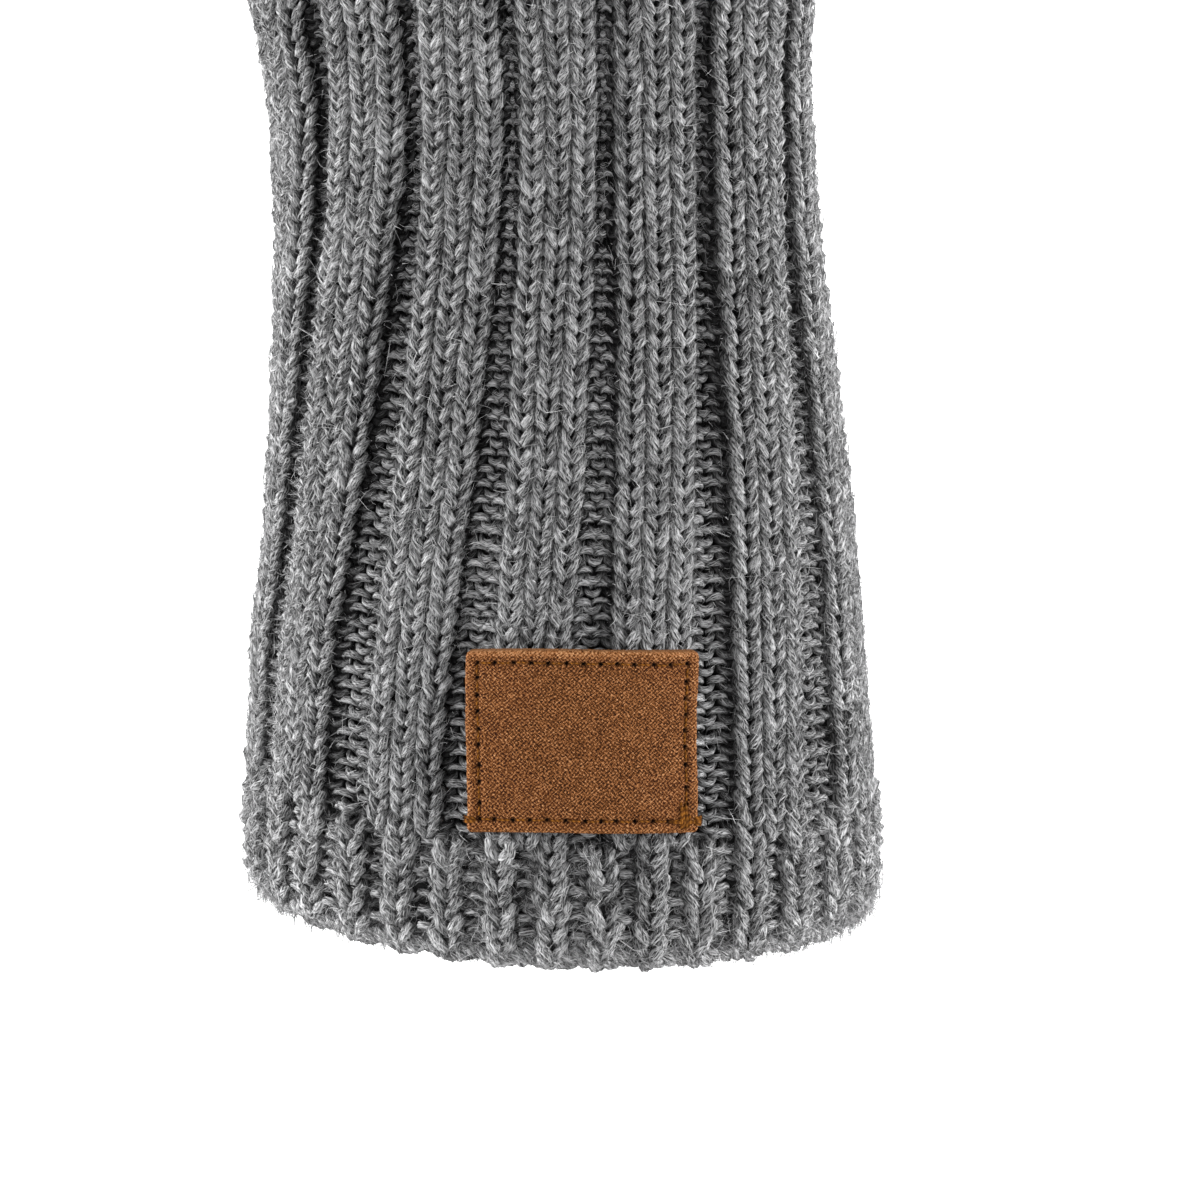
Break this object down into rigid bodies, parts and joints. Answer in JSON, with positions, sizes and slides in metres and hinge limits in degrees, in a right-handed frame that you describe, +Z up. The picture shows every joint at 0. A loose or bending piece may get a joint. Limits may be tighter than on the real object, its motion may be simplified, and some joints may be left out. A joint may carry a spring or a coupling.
{
  "type": "wrist warmer",
  "caption": "Hollow ribbed wool wrist warmer in its worn shape, with a thumb opening at the side, a fine-ribbed hem band and a tan leather patch on the front.",
  "frame": {"origin": "middle of the narrowest section, on the arm's axis, where the wrist holds the warmer", "axes": "+Z up the arm towards the hand, -Y the front with the patch, -X the side of the thumb"},
  "size_m": [0.0923, 0.0817, 0.1917],
  "materials": {
    "wool": "heathered mid-grey wool, ribbed knit with a soft halo of fibres, matte",
    "leather": "tan brown leather, fine grain, matte"
  },
  "bodies": {
    "root": {"knit_front": "wool", "knit_back": "wool", "leather_patch": "leather"}
  },
  "joints": []
}
